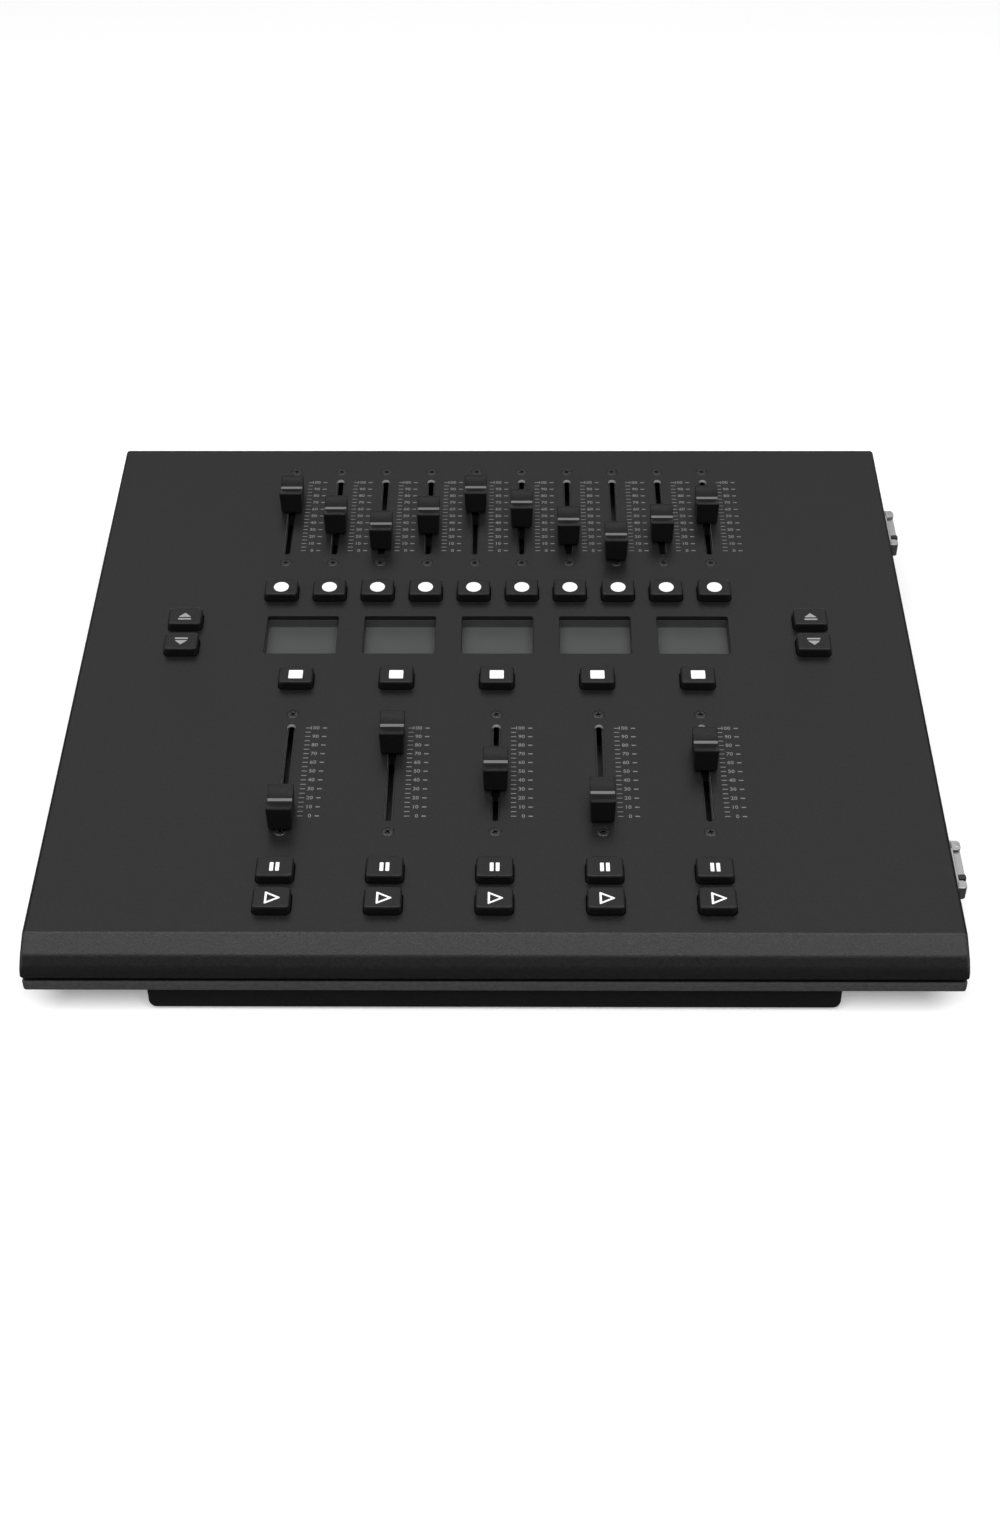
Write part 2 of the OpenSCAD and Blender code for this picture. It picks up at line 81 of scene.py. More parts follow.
NOSE = nose_profile()
NOSE_END_V, NOSE_END_N = NOSE[-1][:2]
WALL_H = -NOSE_END_N                                    # cover's walls
RIM_TOP = -WALL_H - 3.2                                 # tray's rim, top edge
SLAB_LOW = RIM_TOP - 5.8                                # tray's underside
KEY_W, KEY_D, KEY_TOP, KEY_SKIRT = 17.0, 13.3, 4.7, 2.5
KEY_BACK = 0.6                                          # key cap behind its stem and legend
KEY_MID = 1.25                                          # middle of a key's height at rest
CAP_W, CAP_L, CAP_TOP, CAP_GAP = 12.0, 19.6, 13.0, 1.3
DIP_L, DIP_H = 15.6, 2.3
SLOT_W, SLOT_L = 4.2, 66.0
TRAVEL = 60.0
SCREW_SPAN = 80.0                                       # between a fader's two screws
SCREW_HOLE_R = 2.83
VIEW_W, VIEW_D = 36.5, 29.0                             # openings over the displays
WINDOW_T = 1.0                                          # clear sheet under each opening

cover_low, cover_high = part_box("top_cover")
PANEL_Y = cover_low.y - (NOSE_END_V * math.cos(TILT) - NOSE_END_N * math.sin(TILT)) * MM
PANEL_D = (cover_high.y - PANEL_Y - WALL_H * MM * math.sin(TILT)) / math.cos(TILT) / MM
PANEL_Z = cover_high.z - PANEL_D * MM * math.sin(TILT)
PANEL_W = (cover_high.x - cover_low.x) / MM
PANEL = Matrix.Translation((0, PANEL_Y, PANEL_Z)) @ Matrix.Rotation(TILT, 4, "X")


def panel_place(node, height):
    """(x, v) in mm of a node's middle on the panel; height is that of its widest layer."""
    low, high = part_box(node)
    middle = (low + high) / 2
    v = (middle.y - PANEL_Y + height * MM * math.sin(TILT)) / math.cos(TILT)
    return middle.x / MM, v / MM


def on_panel(x=0.0, v=0.0, n=0.0):
    """Matrix of a place on the panel, given in mm."""
    return PANEL @ Matrix.Translation((x * MM, v * MM, n * MM))


FADERS = {n: panel_place(n, CAP_GAP) for n in frame["nodes"] if "_fader_" in n}
KEYS = {n: panel_place(n, KEY_MID) for n in frame["nodes"] if "_key_" in n}


def fader_middle(node):
    """The middle of a fader's travel on the panel, from its joint's range."""
    low, high = JOINTS[node + "_slide"]["range_m"]
    x, v = FADERS[node]
    return x, v + (low + high) / 2 / MM


MIDDLES = {n: fader_middle(n) for n in FADERS}
DISPLAY_X = [MIDDLES[f"lower_fader_{i}"][0] for i in range(1, 6)]
display_low, display_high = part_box("display_windows")
DISPLAY_V = ((display_low.y + display_high.y) / 2 - PANEL_Y
             - (SHEET + WINDOW_T / 2) * MM * math.sin(TILT)) / math.cos(TILT) / MM

# ---------------------------------------------------------------- camera

CAMERA_PLACE = (9.8, -631.1, 721.3)   # on the panel's own axes, mm
PITCH, YAW, ROLL = (math.radians(a) for a in (44.157, -0.606, -0.355))
FOCAL_SHARE = 2160 / 1523             # focal length over the picture's long side


def make_camera():
    data = bpy.data.cameras.new("camera")
    data.sensor_width = 36
    data.lens = FOCAL_SHARE * data.sensor_width
    data.clip_start, data.clip_end = 0.01, 50
    cam = bpy.data.objects.new("camera", data)
    bpy.context.scene.collection.objects.link(cam)
    ahead = Vector((math.sin(YAW) * math.cos(PITCH), math.cos(YAW) * math.cos(PITCH),
                    -math.sin(PITCH)))
    right = Vector((math.cos(YAW), -math.sin(YAW), 0))
    up = right.cross(ahead)
    right, up = (math.cos(ROLL) * right + math.sin(ROLL) * up,
                 math.cos(ROLL) * up - math.sin(ROLL) * right)
    turn = Matrix((right, up, -ahead)).transposed().to_4x4()
    cam.matrix_world = on_panel(*CAMERA_PLACE) @ turn
    bpy.context.scene.camera = cam


make_camera()

# ---------------------------------------------------------------- materials


class Shader:
    """One Principled material with its nodes at hand."""

    def __init__(self, name, colour, roughness, **values):
        self.material = bpy.data.materials.new(name)
        self.material.use_nodes = True
        self.nodes = self.material.node_tree.nodes
        self.links = self.material.node_tree.links
        self.bsdf = self.nodes["Principled BSDF"]
        self.colour = (*colour, 1) if len(colour) == 3 else colour
        self.bsdf.inputs["Base Color"].default_value = self.colour
        self.bsdf.inputs["Roughness"].default_value = roughness
        for key, value in values.items():
            self.bsdf.inputs[key.replace("_", " ")].default_value = value
        self.coords = self.nodes.new("ShaderNodeTexCoord")

    def noise(self, scale, detail, roughness=0.55, stretch=None):
        """Noise in the piece's own coordinates, finer along an axis where stretch is large."""
        node = self.nodes.new("ShaderNodeTexNoise")
        node.inputs["Scale"].default_value = scale
        node.inputs["Detail"].default_value = detail
        node.inputs["Roughness"].default_value = roughness
        place = self.coords.outputs["Object"]
        if stretch:
            mapping = self.nodes.new("ShaderNodeMapping")
            mapping.inputs["Scale"].default_value = stretch
            self.links.new(place, mapping.inputs["Vector"])
            place = mapping.outputs["Vector"]
        self.links.new(place, node.inputs["Vector"])
        return node.outputs["Fac"]

    def ramp(self, factor, low, high):
        """Maps the range that most of a noise lies in, 0.3 to 0.7, onto low to high."""
        node = self.nodes.new("ShaderNodeMapRange")
        for key, value in (("From Min", 0.3), ("From Max", 0.7), ("To Min", low), ("To Max", high)):
            node.inputs[key].default_value = value
        self.links.new(factor, node.inputs["Value"])
        return node.outputs["Result"]

    def mottle(self, factor, dark, light):
        """Varies the base colour between dark and light times itself."""
        node = self.nodes.new("ShaderNodeMix")
        node.data_type = "RGBA"
        rgb = self.colour[:3]
        node.inputs["A"].default_value = (*[c * dark for c in rgb], 1)
        node.inputs["B"].default_value = (*[min(1, c * light) for c in rgb], 1)
        self.links.new(self.ramp(factor, 0, 1), node.inputs["Factor"])
        self.links.new(node.outputs["Result"], self.bsdf.inputs["Base Color"])
        return self

    def gloss(self, factor, low, high):
        """Varies the roughness between low and high."""
        self.links.new(self.ramp(factor, low, high), self.bsdf.inputs["Roughness"])
        return self

    def bump(self, factor, distance, strength):
        """Relief of a depth of distance, in metres."""
        node = self.nodes.new("ShaderNodeBump")
        node.inputs["Distance"].default_value = distance
        node.inputs["Strength"].default_value = strength
        self.links.new(factor, node.inputs["Height"])
        self.links.new(node.outputs["Normal"], self.bsdf.inputs["Normal"])
        return self


def powder_coat(name, colour, roughness):
    """Satin black coat with a fine even grain."""
    grain = 1500
    s = Shader(name, colour, roughness)
    fine = s.noise(grain, 4)
    s.mottle(s.noise(grain * 0.35, 3), 0.8, 1.25)
    s.gloss(s.noise(grain * 0.6, 2), roughness - 0.06, roughness + 0.07)
    return s.bump(fine, 0.00012, 0.55).material


def moulded(name, colour, roughness, grain=2600, depth=0.00005, shine=0.5):
    """Moulded plastic with a fine spark-eroded grain and faint flow marks."""
    s = Shader(name, colour, roughness, Specular_IOR_Level=shine)
    s.mottle(s.noise(260, 3), 0.92, 1.08)
    s.gloss(s.noise(420, 3), roughness - 0.05, roughness + 0.06)
    return s.bump(s.noise(grain, 3), depth, 0.6).material


def metal(name, colour, roughness, across=18):
    """Plated metal, its brushed lines finer across than along; with across 1 it has none."""
    s = Shader(name, colour, roughness, Metallic=1.0)
    lines = s.noise(900, 4, 0.6, (1, across, 1))
    s.mottle(lines, 0.88, 1.05)
    s.gloss(lines, roughness - 0.08, roughness + 0.1)
    return s.bump(lines, 0.00002, 0.5).material


def ink(name, colour):
    """Screen-printed ink, a little uneven."""
    s = Shader(name, colour, 0.6)
    s.mottle(s.noise(2200, 3), 0.75, 1.1)
    return s.bump(s.noise(3000, 2), 0.00001, 0.5).material


def inlay(name, colour, painted_glow):
    """White inlay, a little cloudy, with a faint painted glow that makes it read bright."""
    s = Shader(name, colour, 0.35, Emission_Color=(1, 1, 1, 1), Emission_Strength=painted_glow)
    s.mottle(s.noise(700, 3), 0.95, 1.0)
    return s.bump(s.noise(1800, 2), 0.00002, 0.4).material


def display_face(name, colour):
    """Unlit display: fine rows and columns of cells under a matt polariser."""
    s = Shader(name, colour, 0.42)
    rows = s.noise(4500, 2, 0.5, (0.05, 1, 1))
    columns = s.noise(4500, 2, 0.5, (1, 0.05, 1))
    s.mottle(s.noise(60, 2), 0.96, 1.04)
    s.gloss(rows, 0.4, 0.44)
    return s.bump(columns, 0.000002, 0.2).material


def clear_sheet(name):
    """Thin clear acrylic with faint waviness."""
    s = Shader(name, (0, 0, 0), 0.04, IOR=1.45, Alpha=0.08)
    return s.bump(s.noise(90, 2), 0.00002, 0.2).material


def board(name, colour):
    """Solder mask over faint tracks."""
    s = Shader(name, colour, 0.4)
    tracks = s.noise(500, 2, 0.4, (1, 0.08, 1))
    s.mottle(tracks, 0.75, 1.25)
    return s.bump(tracks, 0.00003, 0.5).material


COVER = powder_coat("cover_coat", (0.006, 0.006, 0.0062), 0.36)
# The tray's coat is its paint lightened by a painted reflection of the white floor, which the desk's
# gloss does not mirror.
TRAY_PAINTED_REFLECTION = powder_coat("tray_coat_painted_reflection", (0.036, 0.036, 0.037), 0.4)
# Painted shade: the tray's upstand in the gap under the cover is coloured darker than the tray, as
# dark as the shade in that groove.
GROOVE_SHADE = powder_coat("groove_shade", (0.006, 0.006, 0.006), 0.7)
BASE = moulded("base_plastic", (0.007, 0.007, 0.0072), 0.5, 1400, 0.00012, shine=0.2)
PLATE = powder_coat("plate_coat", (0.02, 0.02, 0.021), 0.5)
CAP = moulded("cap_plastic", (0.0045, 0.0045, 0.0047), 0.45, shine=0.3)
CAP_LINE = ink("cap_line_white", (0.17, 0.17, 0.17))
KEY = moulded("key_plastic", (0.0045, 0.0045, 0.0047), 0.42)
# The legends' emission is a painted glow that brightens their white.
LEGEND = inlay("legend_inlay", (0.75, 0.75, 0.75), 0.3)
SCREW = metal("screw_black", (0.09, 0.09, 0.092), 0.4, across=1)
# Light grey on the fader slots' walls is a painted highlight, the glint of their lit cut edges.
CUT_EDGE_GLINT = ink("cut_edge_glint", (0.42, 0.42, 0.42))
STEEL = metal("zinc_steel", (0.08, 0.08, 0.082), 0.4)
LATCH = metal("latch_zinc", (0.66, 0.66, 0.66), 0.34)
SHELL = metal("connector_shell", (0.62, 0.62, 0.6), 0.25)
CARRIAGE = moulded("carriage_plastic", (0.03, 0.03, 0.03), 0.45)
SWITCH = moulded("switch_plastic", (0.03, 0.03, 0.033), 0.5)
BEZEL = moulded("bezel_plastic", (0.055, 0.055, 0.056), 0.5)
DISPLAY = display_face("display_grey", (0.085, 0.086, 0.087))
WINDOW = clear_sheet("window_clear")
RUBBER = moulded("foot_rubber", (0.015, 0.015, 0.015), 0.75, 900, 0.00015)
BOARD = board("board_green", (0.02, 0.085, 0.04))
PRINT = ink("scale_print", (0.2, 0.2, 0.202))
PAGE_PRINT = ink("page_print", (0.36, 0.36, 0.36))

# ---------------------------------------------------------------- mesh tools

SHARP = math.radians(40)


def make_object(name, bm, materials, at=None, weighted=True):
    """Makes an object of a bmesh, smooth but for its sharp edges, and frees the bmesh."""
    bmesh.ops.remove_doubles(bm, verts=bm.verts, dist=1e-7)
    bmesh.ops.recalc_face_normals(bm, faces=bm.faces)
    for face in bm.faces:
        face.smooth = True
    mesh = bpy.data.meshes.new(name)
    bm.to_mesh(mesh)
    bm.free()
    mesh.set_sharp_from_angle(angle=SHARP)
    for m in materials if isinstance(materials, (list, tuple)) else [materials]:
        mesh.materials.append(m)
    return place_mesh(name, mesh, at, weighted)


def place_mesh(name, mesh, at=None, weighted=True):
    obj = bpy.data.objects.new(name, mesh)
    bpy.context.scene.collection.objects.link(obj)
    if at is not None:
        obj.matrix_world = at
    if weighted:
        m = obj.modifiers.new("weighted", "WEIGHTED_NORMAL")
        m.keep_sharp = True
        m.weight = 100
    return obj


def arc(centre, radius, start, end, steps):
    """Points of an arc, angles in degrees."""
    angles = (math.radians(start + (end - start) * k / steps) for k in range(steps + 1))
    return [(centre[0] + radius * math.cos(a), centre[1] + radius * math.sin(a)) for a in angles]


def rounded(w, d, r, steps=6, along=(1, 1)):
    """A rounded rectangle's outline about the origin; along divides its two kinds of side."""
    corners = [arc((sx * (w / 2 - r), sy * (d / 2 - r)), r, 90 * k, 90 * k + 90, steps)
               for k, (sx, sy) in enumerate(((1, 1), (-1, 1), (-1, -1), (1, -1)))]
    points = []
    for k, corner in enumerate(corners):
        (x0, y0), (x1, y1) = corner[-1], corners[(k + 1) % 4][0]
        parts = along[k % 2]
        points += corner
        points += [(x0 + (x1 - x0) * j / parts, y0 + (y1 - y0) * j / parts) for j in range(1, parts)]
    return points


def ring(bm, points, height):
    """Vertices of an outline in mm; height is a number or a function of (x, y)."""
    level = height if callable(height) else lambda x, y: height
    return [bm.verts.new((x * MM, y * MM, level(x, y) * MM)) for x, y in points]


def skin(bm, low, high, material=0):
    """Quads between two rings of the same length."""
    for i in range(len(low)):
        j = (i + 1) % len(low)
        face = bm.faces.new((low[i], low[j], high[j], high[i]))
        face.material_index = material


def loft(bm, rings, materials=None, close=(True, True)):
    """Skins rings in order, each band with its own material index, and closes the ends."""
    for i in range(len(rings) - 1):
        skin(bm, rings[i], rings[i + 1], materials[i] if materials else 0)
    if close[0]:
        bm.faces.new(list(reversed(rings[0])))
    if close[1]:
        bm.faces.new(rings[-1])


def stadium(w, length, steps=8):
    r = w / 2
    return (arc((0, length / 2 - r), r, 0, 180, steps)
            + arc((0, -length / 2 + r), r, 180, 360, steps))


def circle(r, steps=24):
    return arc((0, 0), r, 0, 360 - 360 / steps, steps - 1)


def moved(points, x, y):
    return [(a + x, b + y) for a, b in points]


def lathe(bm, outline, steps, at=(0, 0), close=(True, True)):
    """Turns an outline of (radius, height) in mm about an upright axis. A radius of 0 becomes a
    ring so small that its vertices merge."""
    loft(bm, [ring(bm, moved(circle(max(r, 1e-4), steps), *at), z) for r, z in outline],
         close=close)


def block(bm, w, d, low, high, r=0.6, edge=0.25, at=(0, 0), material=0):
    """A rounded block between two heights, with rolled top and bottom edges."""
    outlines = []
    for k in range(3):
        a = math.radians(45 * k)
        outlines.append((edge * (1 - math.sin(a)), low + edge * (1 - math.cos(a))))
    outlines += [(i, low + high - z) for i, z in reversed(outlines)]
    rings = []
    for inset, z in outlines:
        points = rounded(w - 2 * inset, d - 2 * inset, max(r - inset, 0.05), 4)
        rings.append(ring(bm, moved(points, *at), z))
    loft(bm, rings, [material] * (len(rings) - 1))


def fill(bm, outer, holes, height):
    """A flat face with holes, at one height. Outlines are closed and in mm."""
    edges = []
    for points in [outer, *holes]:
        verts = ring(bm, points, height)
        edges += [bm.edges.new((verts[i], verts[(i + 1) % len(verts)])) for i in range(len(verts))]
    bmesh.ops.triangle_fill(bm, use_beauty=True, use_dissolve=False, edges=edges)


def repeated(kept, kind, name, build, materials, at, weighted=True):
    """A piece that shares one mesh with the others of its kind; kept holds a mesh per kind."""
    if kind in kept:
        return place_mesh(name, kept[kind], at, weighted)
    obj = make_object(name, build(), materials, at, weighted)
    kept[kind] = obj.data
    return obj


def ride(obj, body, slot, *replaced):
    """Puts a piece on its body and hides the CAD nodes that it stands for; its slot is not used."""
    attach(obj, body)
    if replaced:
        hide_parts(*replaced)
    return obj


# ---------------------------------------------------------------- top cover


def cover_holes():
    """Every hole in the panel: its outline as a function of how much it is widened, its place,
    and its wall's material index."""
    key_gap, key_corner, view_corner = 0.3, 2.7, 1
    key_w, key_d = KEY_W + 2 * key_gap, KEY_D + 2 * key_gap
    # bright is the index of the slot walls' painted highlight.
    dark, bright = 0, 1
    holes = []
    for x, v in MIDDLES.values():
        holes.append((lambda g: stadium(SLOT_W + 2 * g, SLOT_L + 2 * g), x, v, bright))
        for side in (-1, 1):
            holes.append((lambda g: circle(SCREW_HOLE_R + g), x, v + side * SCREW_SPAN / 2, dark))
    for x, v in KEYS.values():
        holes.append((lambda g: rounded(key_w + 2 * g, key_d + 2 * g, key_corner + g, 6),
                      x, v + KEY_BACK, dark))
    for x in DISPLAY_X:
        holes.append((lambda g: rounded(VIEW_W + 2 * g, VIEW_D + 2 * g, view_corner + g, 5),
                      x, DISPLAY_V, dark))
    return holes


def cover_profile():
    """Stations of the cover's side view from the front edge over the nose to the rear edge,
    each as (v, n, normal)."""
    rear_steps = 6
    stations = [(v, n, 90.0 + slope) for v, n, slope in reversed(NOSE)]
    for k in range(rear_steps + 1):
        a = 90 - 90 * k / rear_steps
        stations.append((PANEL_D - BEND_R + BEND_R * math.cos(math.radians(a)),
                         -BEND_R + BEND_R * math.sin(math.radians(a)), a))
    stations.append((PANEL_D, -WALL_H, 0.0))
    return stations


def make_cover():
    """The cover: its outside and inside faces, its folded edges, and the rolled rims and walls
    of its holes."""
    bm = bmesh.new()
    stations = cover_profile()
    half = PANEL_W / 2 - BEND_R
    side_steps = 6
    rim = 0.3

    def outer(i, side, k):
        """Vertex at station i, on the left or right side, k steps round the folded edge."""
        v, n, a = stations[i]
        a, t = math.radians(a), math.radians(90 * k / side_steps)
        reach = BEND_R * (1 - math.cos(t))
        return (side * (half + BEND_R * math.sin(t)) * MM, (v - reach * math.cos(a)) * MM,
                max(n - reach * math.sin(a), -WALL_H) * MM)

    def inner(i, side):
        v, n, a = stations[i]
        a = math.radians(a)
        return (side * half * MM, (v - SHEET * math.cos(a)) * MM,
                max(n - SHEET * math.sin(a), -WALL_H) * MM)

    def face(*points):
        bm.faces.new([bm.verts.new(p) for p in points])

    last = len(stations) - 1
    flat = next(i for i in range(last) if stations[i][2] == stations[i + 1][2] == 90.0)
    for i in range(last):
        for side in (-1, 1):
            for k in range(side_steps):
                face(outer(i, side, k), outer(i + 1, side, k), outer(i + 1, side, k + 1),
                     outer(i, side, k + 1))
        if i != flat:
            face(outer(i, -1, 0), outer(i + 1, -1, 0), outer(i + 1, 1, 0), outer(i, 1, 0))
            face(inner(i, -1), inner(i + 1, -1), inner(i + 1, 1), inner(i, 1))
    for side in (-1, 1):
        face(*[outer(i, side, side_steps) for i in range(last + 1)])
        face(*[inner(i, side) for i in range(last + 1)])
    for i in (0, last):
        face(outer(i, -1, 0), inner(i, -1), inner(i, 1), outer(i, 1, 0))
        for side in (-1, 1):
            for k in range(side_steps):
                face(outer(i, side, k), outer(i, side, k + 1), inner(i, side))
    for side in (-1, 1):
        face(outer(0, side, side_steps), inner(0, side), inner(last, side),
             outer(last, side, side_steps))

    flat_v = (stations[flat][0], stations[flat + 1][0])
    edge = [(-half, flat_v[0]), (half, flat_v[0]), (half, flat_v[1]), (-half, flat_v[1])]
    holes = cover_holes()
    fill(bm, edge, [moved(h(rim), x, v) for h, x, v, _ in holes], 0)
    fill(bm, edge, [moved(h(0), x, v) for h, x, v, _ in holes], -SHEET)
    for h, x, v, wall in holes:
        rings = []
        for k in range(4):
            t = math.radians(30 * k)
            rings.append(ring(bm, moved(h(rim * (1 - math.sin(t))), x, v), -rim * (1 - math.cos(t))))
        rings.append(ring(bm, moved(h(0), x, v), -SHEET))
        loft(bm, rings, [0, 0, 0, wall], close=(False, False))

    obj = make_object("top_cover_shell", bm, [COVER, CUT_EDGE_GLINT], PANEL)
    ride(obj, "case", "cover_paint", "top_cover")


# ---------------------------------------------------------------- tray


def make_tray():
    """The shallow tray with its rolled rim, and the upstand inside the cover's walls, darkened with
    painted shade.
    """
    inset, edge, floor_t, wall_t = 0.4, 0.9, 1.5, 2.0
    side_in, front_in, upstand_top = 1.75, 3.75, -WALL_H + 3
    corner, steps = 1.5, 5
    levels = []                                          # inset at the sides, at the front, height
    for k in range(steps + 1):
        t = math.radians(90 * k / steps)
        i = edge * (1 - math.sin(t))
        levels.append((i, i, SLAB_LOW + edge * (1 - math.cos(t))))
    levels += [(i, f, SLAB_LOW + RIM_TOP - z) for i, f, z in reversed(levels)]
    rim_bands = len(levels) - 1
    levels += [(side_in, front_in, RIM_TOP), (side_in, front_in, upstand_top),
               (side_in + wall_t, front_in + wall_t, upstand_top),
               (side_in + wall_t, front_in + wall_t, SLAB_LOW + floor_t)]
    bm = bmesh.new()
    rings = []
    for side, front, z in levels:
        low_v, high_v = NOSE_END_V + inset + front, PANEL_D - inset - side
        outline = rounded(PANEL_W - 2 * (inset + side), high_v - low_v, max(corner - side, 0.2), 6)
        rings.append(ring(bm, moved(outline, 0, (low_v + high_v) / 2), z))
    loft(bm, rings, [0 if k < rim_bands else 1 for k in range(len(rings) - 1)])
    obj = make_object("bottom_tray_shell", bm, [TRAY_PAINTED_REFLECTION, GROOVE_SHADE], PANEL)
    ride(obj, "case", "tray_paint", "bottom_tray")


# ---------------------------------------------------------------- faders


def cap_mesh():
    """Fader cap: a saddle with rolled edges, shorter at the top and narrower at the foot."""
    e, foot, corner = 0.55, 0.3, 0.9                     # rolled edge, foot's chamfer, corners
    shorter, narrower = 2.2, 0.9
    wall_low = CAP_GAP + foot

    def top(v):
        return CAP_TOP - DIP_H * max(0.0, 1 - (2 * v / DIP_L) ** 2)

    def outline(inset, t):
        """The cap's outline at a share t of its walls' height."""
        return rounded(CAP_W - narrower * (1 - t) - 2 * inset, CAP_L - shorter * t - 2 * inset,
                       max(corner - inset, 0.12), 4, (4, 14))

    bm = bmesh.new()
    rings = [ring(bm, outline(foot, 0), CAP_GAP), ring(bm, outline(0, 0), wall_low)]
    for t in (0.25, 0.5, 0.75, 1.0):
        rings.append(ring(bm, outline(0, t),
                          lambda x, y, t=t: wall_low + t * (top(y) - e - wall_low)))
    for k in range(1, 5):
        a = math.radians(22.5 * k)
        rings.append(ring(bm, outline(e * (1 - math.cos(a)), 1),
                          lambda x, y, a=a: top(y) - e + e * math.sin(a)))
    for inset in (1.3, 2.3, 3.4, 4.6):                   # the saddle, ring by ring inwards
        rings.append(ring(bm, outline(inset, 1), lambda x, y: top(y)))
    loft(bm, rings, close=(True, False))

    last = sorted(rings[-1], key=lambda vert: (round(vert.co.y, 7), vert.co.x))
    rows = []
    for vert in last:
        if rows and abs(rows[-1][0].co.y - vert.co.y) < 1e-6:
            rows[-1].append(vert)
        else:
            rows.append([vert])
    for low, high in zip(rows, rows[1:]):
        bm.faces.new([*low, *reversed(high)])
    return bm


def line_mesh():
    """The index line across the middle of the cap, a strip with rolled edges."""
    width, inset, proud, deep = 1.9, 0.25, 0.14, 0.5
    hollow = CAP_TOP - DIP_H
    bm = bmesh.new()
    block(bm, CAP_W - 2 * inset, width, hollow - deep, hollow + proud, 0.3, 0.12)
    return bm


def blade_mesh():
    """The blade through the slot, and the carriage that it stands on."""
    blade_w, blade_l, into_cap = 1.2, 5.0, 4.0
    carriage_w, carriage_l, carriage_low, carriage_top = 10.4, 9.0, -11.6, -4.4
    overlap = 2.1
    bm = bmesh.new()
    block(bm, blade_w, blade_l, carriage_top - overlap, CAP_GAP + into_cap, 0.3, 0.2)
    block(bm, carriage_w, carriage_l, carriage_low, carriage_top, 0.8, 0.4, material=1)
    return bm


FADER_PIECES = (("cap", cap_mesh, CAP, "cap_plastic"),
                ("index_line", line_mesh, CAP_LINE, "cap_line"),
                ("blade", blade_mesh, [STEEL, CARRIAGE], "bright_steel"))


def make_faders():
    kept = {}
    for node, (x, v) in FADERS.items():
        for part, build, materials, slot in FADER_PIECES:
            piece = repeated(kept, part, f"{node}_{part}", build, materials, on_panel(x, v))
            ride(piece, node, slot, *([node] if part == "cap" else []))


# ---------------------------------------------------------------- keys


def key_mesh():
    """Hollow key cap with a softly rolled top edge, and its stem."""
    e, corner, chamfer = 1.1, 2.6, 0.2                   # rolled top edge, corners, lower edge
    steps = 6
    wall, roof = 1.3, 3.0                                # hollow inside, up to the roof
    stem_w, stem_low = 3.8, -6.5
    bm = bmesh.new()
    levels = [(wall, roof), (wall, -KEY_SKIRT), (chamfer, -KEY_SKIRT), (0, -KEY_SKIRT + chamfer)]
    for k in range(steps + 1):
        t = math.radians(90 * k / steps)
        levels.append((e * (1 - math.cos(t)), KEY_TOP - e + e * math.sin(t)))
    levels.append((e + 0.8, KEY_TOP))
    rings = [ring(bm, moved(rounded(KEY_W - 2 * i, KEY_D - 2 * i, max(corner - 0.7 * i, 0.3), 8),
                            0, KEY_BACK), z) for i, z in levels]
    loft(bm, rings)
    block(bm, stem_w, stem_w, stem_low, roof - 0.1, 0.3, 0.2)
    return bm


def prism(bm, outline, holes=(), low=-0.35, high=0.04):
    """A flat inlay with holes, standing on the key's top."""
    for height in (low, high):
        fill(bm, outline, holes, KEY_TOP + height)
    for points in [outline, *holes]:
        skin(bm, ring(bm, points, KEY_TOP + low), ring(bm, points, KEY_TOP + high))


def round_corners(points, r, steps=4):
    """Rounds each corner of a closed outline by a small arc."""
    out = []
    count = len(points)
    for i, p in enumerate(points):
        a, b = Vector(points[i - 1]), Vector(points[(i + 1) % count])
        p = Vector(p)
        to_a, to_b = (a - p).normalized(), (b - p).normalized()
        half = to_a.angle(to_b) / 2
        cut = r / math.tan(half)
        centre = p + (to_a + to_b).normalized() * (r / math.sin(half))
        start, end = p + to_a * cut - centre, p + to_b * cut - centre
        turn = start.angle_signed(end)
        for k in range(steps + 1):
            c = math.cos(-turn * k / steps)
            s = math.sin(-turn * k / steps)
            out.append((centre.x + start.x * c - start.y * s, centre.y + start.x * s + start.y * c))
    return out


def triangle(half, shift):
    """A triangle that points to the right, about its centre of area."""
    long = 1.926 * half
    return [(shift - long / 3, -half), (shift + long * 2 / 3, 0), (shift - long / 3, half)]


def disc_legend(bm):
    prism(bm, circle(3.85, 40))


def block_legend(bm):
    prism(bm, rounded(7.0, 6.1, 0.5, 4))


def bars_legend(bm):
    width, depth, apart = 1.7, 5.2, 2.7
    for side in (-1, 1):
        prism(bm, moved(rounded(width, depth, 0.25, 3), side * apart / 2, 0))


def play_legend(bm):
    """An open triangle that points to the right."""
    outer, inner, shift = 3.8, 2.25, -0.5
    prism(bm, round_corners(triangle(outer, shift), 0.35),
          [round_corners(triangle(inner, shift), 0.15)])


def page_legend(bm, flip=1):
    """A triangle that points up or down the slope, over a bar."""
    half, base, tip = 3.3, -0.7, 2.6
    bar_d, bar_v = 1.1, -2.2
    up = [(-half, flip * base), (half, flip * base), (0, flip * tip)]
    prism(bm, round_corners(up if flip > 0 else up[::-1], 0.25))
    prism(bm, moved(rounded(2 * half, bar_d, 0.2, 3), 0, flip * bar_v))


def page_down_legend(bm):
    page_legend(bm, -1)


LEGENDS = {"flash": disc_legend, "select": block_legend, "pause": bars_legend,
           "play": play_legend, "page_up": page_legend, "page_down": page_down_legend}


def legend_mesh(kind):
    bm = bmesh.new()
    LEGENDS[kind](bm)
    return bm


